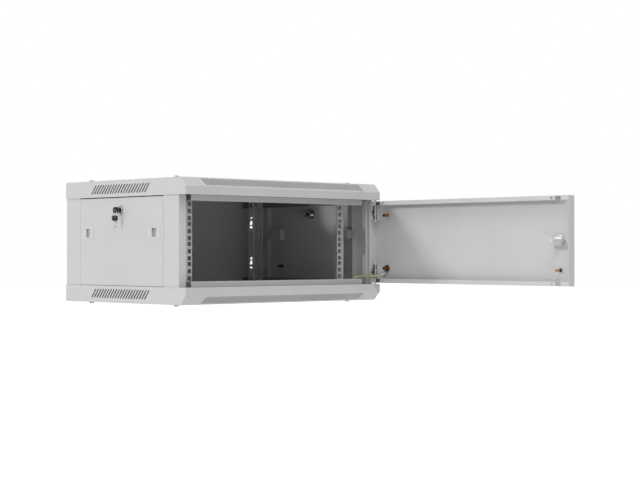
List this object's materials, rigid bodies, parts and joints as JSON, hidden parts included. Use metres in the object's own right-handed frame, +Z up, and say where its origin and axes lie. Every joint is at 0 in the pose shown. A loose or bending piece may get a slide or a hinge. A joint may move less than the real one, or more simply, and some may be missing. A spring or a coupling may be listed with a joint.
{
  "type": "wall mount network cabinet",
  "caption": "Shallow wall-hung steel equipment cabinet with a deep tray door standing open, lift-out side panels, slotted covers and square-hole rack rails inside.",
  "frame": {"origin": "middle of the four wall holes, on the rear face of the rear posts", "axes": "+Y points back into the wall, +X to the right seen from the front, +Z up"},
  "size_m": [0.6242, 1.0331, 0.289],
  "materials": {
    "cabinet_paint": "light grey textured powder coat",
    "zinc": "bright zinc plated steel",
    "copper_steel": "copper plated steel",
    "latch_plastic": "grey moulded plastic",
    "key_plastic": "black moulded key head on a steel blade",
    "lock_chrome": "polished plated zinc",
    "lead_sheath": "yellow and green insulation"
  },
  "bodies": {
    "cabinet": {"top_cover": "cabinet_paint", "bottom_cover": "cabinet_paint", "top_crossbar": "cabinet_paint", "bottom_crossbar": "cabinet_paint", "front_left_post": "cabinet_paint", "front_right_post": "cabinet_paint", "rear_left_post": "cabinet_paint", "rear_right_post": "cabinet_paint", "top_left_carrier": "cabinet_paint", "top_right_carrier": "cabinet_paint", "bottom_left_carrier": "cabinet_paint", "bottom_right_carrier": "cabinet_paint", "front_left_rail": "cabinet_paint", "front_right_rail": "cabinet_paint", "rear_left_rail": "cabinet_paint", "rear_right_rail": "cabinet_paint", "back_panel": "cabinet_paint", "entry_covers": "cabinet_paint", "back_panel_rivets": "zinc", "rail_bolts": "zinc", "cover_screws": "zinc", "entry_cover_screws": "zinc", "frame_stud_nut": "zinc", "frame_lug": "zinc", "frame_stud": "copper_steel", "earth_lead": "lead_sheath"},
    "door": {"door_shell": "cabinet_paint", "hinge_brackets": "cabinet_paint", "top_hinge_spring": "zinc", "bottom_hinge_spring": "zinc", "door_studs": "copper_steel", "door_stud_nut": "zinc", "door_lug": "zinc", "door_lock_barrel": "lock_chrome", "door_lock_nut": "zinc"},
    "door_lock": {"door_lock_plug": "lock_chrome", "door_lock_cam": "zinc"},
    "top_pin": {"top_hinge_pin": "zinc"},
    "bottom_pin": {"bottom_hinge_pin": "zinc"},
    "left_side": {"left_panel": "cabinet_paint", "left_latch_housings": "latch_plastic", "left_panel_stud": "copper_steel", "left_lock_barrel": "lock_chrome", "left_lock_nut": "zinc"},
    "right_side": {"right_panel": "cabinet_paint", "right_latch_housings": "latch_plastic", "right_panel_stud": "copper_steel", "right_lock_barrel": "lock_chrome", "right_lock_nut": "zinc"},
    "left_lock": {"left_lock_plug": "lock_chrome", "left_lock_cam": "zinc", "panel_key": "key_plastic"},
    "right_lock": {"right_lock_plug": "lock_chrome", "right_lock_cam": "zinc"},
    "left_front_latch": {"left_front_bolt": "latch_plastic"},
    "left_rear_latch": {"left_rear_bolt": "latch_plastic"},
    "right_front_latch": {"right_front_bolt": "latch_plastic"},
    "right_rear_latch": {"right_rear_bolt": "latch_plastic"},
    "ring": {"key_ring": "zinc"},
    "spare": {"spare_key": "key_plastic"}
  },
  "joints": [
    {"name": "door_swing", "type": "hinge", "parent": "cabinet", "child": "door", "pos_m": [0.2918, -0.4403, 0.007], "axis": [0, 0, 1], "range_deg": [-90, 90], "deforming": ["earth_lead"]},
    {"name": "door_lock_turn", "type": "hinge", "parent": "door", "child": "door_lock", "pos_m": [0.2702, -0.9936, 0.007], "axis": [1, 0, 0], "range_deg": [0, 180]},
    {"name": "top_pin_slide", "type": "slide", "parent": "door", "child": "top_pin", "axis": [0, 0, -1], "range_m": [0, 0.007], "stiffness_N_per_m": 400, "springref_m": -0.01, "deforming": ["top_hinge_spring"]},
    {"name": "bottom_pin_slide", "type": "slide", "parent": "door", "child": "bottom_pin", "axis": [0, 0, 1], "range_m": [0, 0.007], "stiffness_N_per_m": 400, "springref_m": -0.01, "deforming": ["bottom_hinge_spring"]},
    {"name": "left_side_tilt", "type": "hinge", "parent": "cabinet", "child": "left_side", "pos_m": [-0.2985, -0.2115, -0.0935], "axis": [0, -1, 0], "range_deg": [0, 35]},
    {"name": "right_side_tilt", "type": "hinge", "parent": "cabinet", "child": "right_side", "pos_m": [0.2985, -0.2115, -0.0935], "axis": [0, 1, 0], "range_deg": [0, 35]},
    {"name": "left_lock_turn", "type": "hinge", "parent": "left_side", "child": "left_lock", "pos_m": [-0.2985, -0.2115, 0.0775], "axis": [1, 0, 0], "range_deg": [0, 90]},
    {"name": "right_lock_turn", "type": "hinge", "parent": "right_side", "child": "right_lock", "pos_m": [0.2985, -0.2115, 0.0775], "axis": [1, 0, 0], "range_deg": [0, 90]},
    {"name": "left_front_latch_slide", "type": "slide", "parent": "left_side", "child": "left_front_latch", "axis": [0, -1, 0], "range_m": [0, 0.008]},
    {"name": "left_rear_latch_slide", "type": "slide", "parent": "left_side", "child": "left_rear_latch", "axis": [0, 1, 0], "range_m": [0, 0.008]},
    {"name": "right_front_latch_slide", "type": "slide", "parent": "right_side", "child": "right_front_latch", "axis": [0, -1, 0], "range_m": [0, 0.008]},
    {"name": "right_rear_latch_slide", "type": "slide", "parent": "right_side", "child": "right_rear_latch", "axis": [0, 1, 0], "range_m": [0, 0.008]},
    {"name": "ring_swing", "type": "hinge", "parent": "left_lock", "child": "ring", "pos_m": [-0.3142, -0.2115, 0.07662], "axis": [0, 1, 0], "range_deg": [-5, 15]},
    {"name": "spare_swing", "type": "hinge", "parent": "ring", "child": "spare", "pos_m": [-0.3142, -0.2115, 0.06262], "axis": [0, 1, 0], "range_deg": [-8, 20]}
  ]
}
